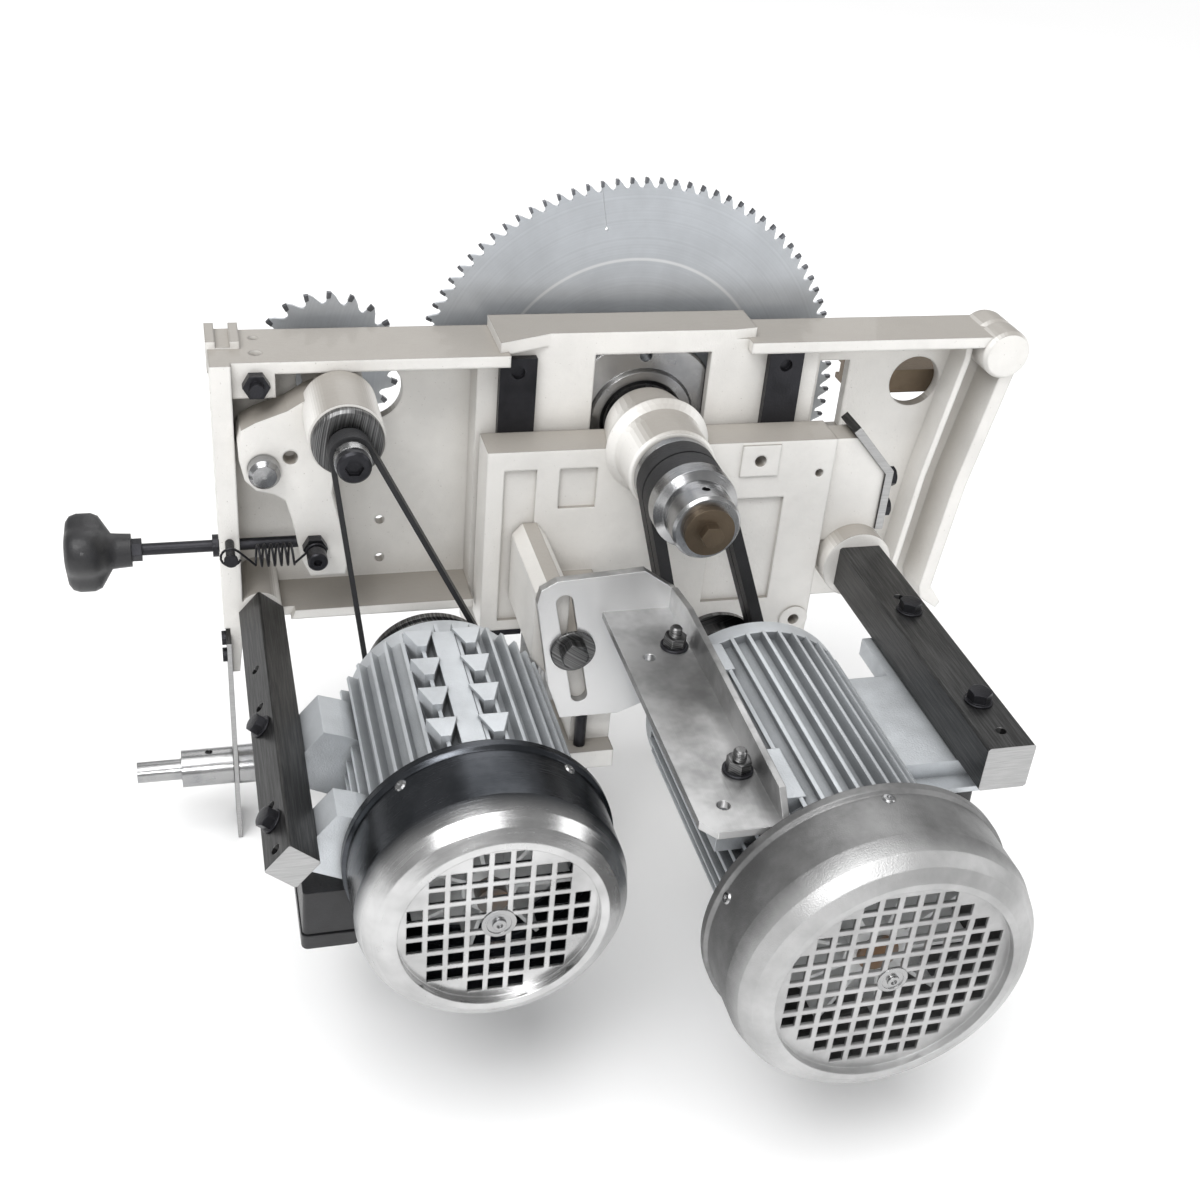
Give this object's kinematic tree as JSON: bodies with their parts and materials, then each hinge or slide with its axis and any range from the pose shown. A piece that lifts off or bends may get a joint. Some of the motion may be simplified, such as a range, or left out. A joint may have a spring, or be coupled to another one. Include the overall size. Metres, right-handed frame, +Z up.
{
  "type": "panel saw unit",
  "caption": "Saw unit of a panel saw: cast frame, raising carriage with the main blade and its motor, tilting scoring arm with a small blade, second motor, belts and adjusters.",
  "frame": {"origin": "Where the main spindle axis crosses the plane of the blades", "axes": "X along the cut with the main blade to the right of the scoring blade, Y along the spindles away from the motors, Z up"},
  "size_m": [0.669, 0.469, 0.4645],
  "materials": {
    "painted": "satin cast enamel with fine speckle",
    "dark_steel": "blackened flat bar, faint drawing lines",
    "black_oxide": "black oxide fasteners",
    "bright_steel": "turned and ground steel",
    "blade_steel": "ground saw steel, grey-blue",
    "bronze": "machined bronze",
    "motor_alloy": "die-cast aluminium, blue-grey",
    "core_steel": "laminated electrical steel",
    "cover_steel": "pressed sheet steel, satin",
    "black_plastic": "black moulded plastic, fine texture",
    "grey_plastic": "light grey moulded plastic",
    "belt_rubber": "black belt rubber"
  },
  "bodies": {
    "frame": {"main_frame": "painted", "guide_rails": "dark_steel", "gear_bracket": "dark_steel", "shaft_plate": "dark_steel", "frame_screws": "black_oxide", "rear_rail": "bright_steel", "pivot_pin": "bright_steel", "scoring_belt": "belt_rubber", "adjuster_spring": "bright_steel"},
    "carriage": {"carriage": "painted", "raise_nut": "bronze", "spindle_bearings": "bright_steel", "clamp_plate": "dark_steel", "clamp_bolts": "black_oxide", "slot_bolt": "black_oxide", "jack_screw": "black_oxide", "main_belts": "belt_rubber"},
    "main_spindle": {"main_spindle": "bright_steel", "blade_flange": "bright_steel", "main_blade": "blade_steel", "arbor_nut": "bright_steel", "main_pulley": "bright_steel", "lock_hub": "bright_steel", "end_bolt": "bright_steel"},
    "main_motor": {"main_motor_bar": "dark_steel", "bar_bolts": "black_oxide", "main_motor_body": "motor_alloy", "main_end_shield": "motor_alloy", "main_motor_inside": "core_steel", "main_fan_cover": "cover_steel", "main_terminal_box": "black_plastic", "cable_gland": "grey_plastic", "tension_bracket": "bright_steel", "bracket_studs": "black_oxide"},
    "main_rotor": {"main_rotor": "core_steel", "main_motor_pulley": "motor_alloy", "main_fan": "motor_alloy"},
    "scoring_arm": {"scoring_arm": "painted", "scoring_bearings": "bright_steel", "bearing_cover": "bright_steel", "pivot_screw": "black_oxide"},
    "scoring_spindle": {"scoring_spindle": "bright_steel", "scoring_blade": "blade_steel", "scoring_clamp": "bright_steel", "scoring_nose_screw": "black_oxide"},
    "scoring_motor": {"scoring_motor_bar": "dark_steel", "scoring_bar_bolts": "black_oxide", "scoring_motor_body": "motor_alloy", "scoring_end_shield": "motor_alloy", "scoring_fan_cover": "cover_steel", "scoring_terminal_box": "black_plastic", "scoring_motor_inside": "core_steel"},
    "scoring_rotor": {"scoring_rotor": "core_steel", "scoring_motor_pulley": "motor_alloy", "scoring_fan": "motor_alloy"},
    "adjuster": {"adjusting_knob": "black_plastic", "adjusting_rod": "black_oxide"},
    "raise_shaft": {"raise_shaft": "bright_steel", "shaft_collar": "bright_steel"},
    "raise_screw": {"raise_screw": "bright_steel"}
  },
  "joints": [
    {"name": "carriage_raise", "type": "slide", "parent": "frame", "child": "carriage", "axis": [0, 0, 1], "range_m": [-0.095, 0]},
    {"name": "main_spin", "type": "hinge", "parent": "carriage", "child": "main_spindle", "pos_m": [0, -0.09, 0], "axis": [0, 1, 0], "continuous": true},
    {"name": "main_motor_swing", "type": "hinge", "parent": "carriage", "child": "main_motor", "pos_m": [0.161, -0.09, -0.1], "axis": [0, 1, 0], "range_deg": [0, 1.5], "deforming": ["main_belts"]},
    {"name": "main_rotor_spin", "type": "hinge", "parent": "main_motor", "child": "main_rotor", "pos_m": [0.044, -0.3, -0.142], "axis": [0, 1, 0], "continuous": true},
    {"name": "scoring_tilt", "type": "hinge", "parent": "frame", "child": "scoring_arm", "pos_m": [-0.26, -0.067, -0.006], "axis": [0, 1, 0], "range_deg": [-2, 2], "deforming": ["scoring_belt"]},
    {"name": "scoring_spin", "type": "hinge", "parent": "scoring_arm", "child": "scoring_spindle", "pos_m": [-0.211, -0.07, 0.031], "axis": [0, 1, 0], "continuous": true},
    {"name": "scoring_motor_swing", "type": "hinge", "parent": "frame", "child": "scoring_motor", "pos_m": [-0.265, -0.05, -0.118], "axis": [0, 1, 0], "range_deg": [-3, 0]},
    {"name": "scoring_rotor_spin", "type": "hinge", "parent": "scoring_motor", "child": "scoring_rotor", "pos_m": [-0.158, -0.25, -0.139], "axis": [0, 1, 0], "continuous": true},
    {"name": "knob_turn", "type": "hinge", "parent": "frame", "child": "adjuster", "pos_m": [-0.3, -0.064, -0.07], "axis": [1, 0, 0], "range_deg": [-960, 960]},
    {"name": "raise_shaft_turn", "type": "hinge", "parent": "frame", "child": "raise_shaft", "pos_m": [-0.3, -0.066, -0.253], "axis": [1, 0, 0], "range_deg": [-6850, 10]},
    {"name": "raise_screw_turn", "type": "hinge", "parent": "frame", "child": "raise_screw", "pos_m": [-0.06, -0.066, -0.2], "axis": [0, 0, 1], "range_deg": [-6850, 10]}
  ],
  "couplings": [
    {"joint": "main_rotor_spin", "follows": "main_spin", "ratio": 0.769},
    {"joint": "scoring_rotor_spin", "follows": "scoring_spin", "ratio": 0.279},
    {"joint": "knob_turn", "follows": "scoring_tilt", "ratio": 321.7},
    {"joint": "raise_shaft_turn", "follows": "carriage_raise", "rad_per_m": 1256.6},
    {"joint": "raise_screw_turn", "follows": "carriage_raise", "rad_per_m": 1256.6}
  ]
}
